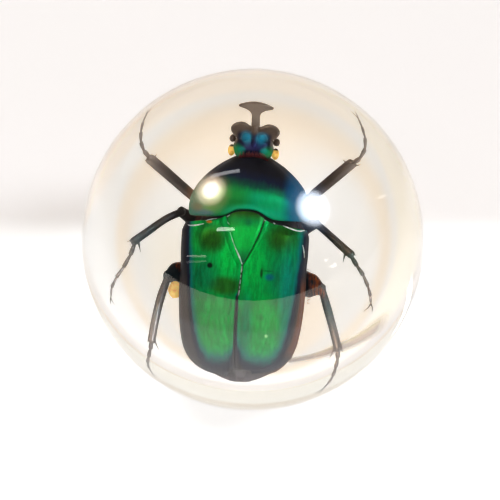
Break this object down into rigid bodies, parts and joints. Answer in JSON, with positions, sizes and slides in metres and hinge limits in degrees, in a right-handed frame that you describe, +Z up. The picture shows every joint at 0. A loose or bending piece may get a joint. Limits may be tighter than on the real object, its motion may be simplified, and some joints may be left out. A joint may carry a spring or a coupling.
{
  "type": "insect in resin ball",
  "caption": "Clear resin ball paperweight with a ground flat to stand on and a green horned beetle sealed inside, its back turned to the viewer.",
  "frame": {"origin": "centre of the ground flat that the ball rests on", "axes": "+Z up through the ball's centre; the beetle's back faces forward, towards -Y, and up; +X to its right"},
  "size_m": [0.0598, 0.0598, 0.0597],
  "materials": {
    "clear_resin": "clear cast resin, polished, with a faint warm tint",
    "green_shell": "metallic emerald green shell with dark blue margins",
    "dark_shell": "near-black shell with a blue and green sheen",
    "belly_shell": "dark brown shell, red-brown at the rim",
    "leg_shell": "brown-black shell with a teal sheen",
    "amber_eye": "glossy golden amber"
  },
  "bodies": {
    "root": {"resin_front_half": "clear_resin", "resin_back_half": "clear_resin", "pronotum": "green_shell", "scutellum": "green_shell", "left_wing_case": "green_shell", "right_wing_case": "green_shell", "head": "dark_shell", "left_eye": "amber_eye", "right_eye": "amber_eye", "left_antenna": "leg_shell", "right_antenna": "leg_shell", "underbody": "belly_shell", "left_front_leg": "leg_shell", "right_front_leg": "leg_shell", "left_middle_leg": "leg_shell", "right_middle_leg": "leg_shell", "left_hind_leg": "leg_shell", "right_hind_leg": "leg_shell"}
  },
  "joints": []
}
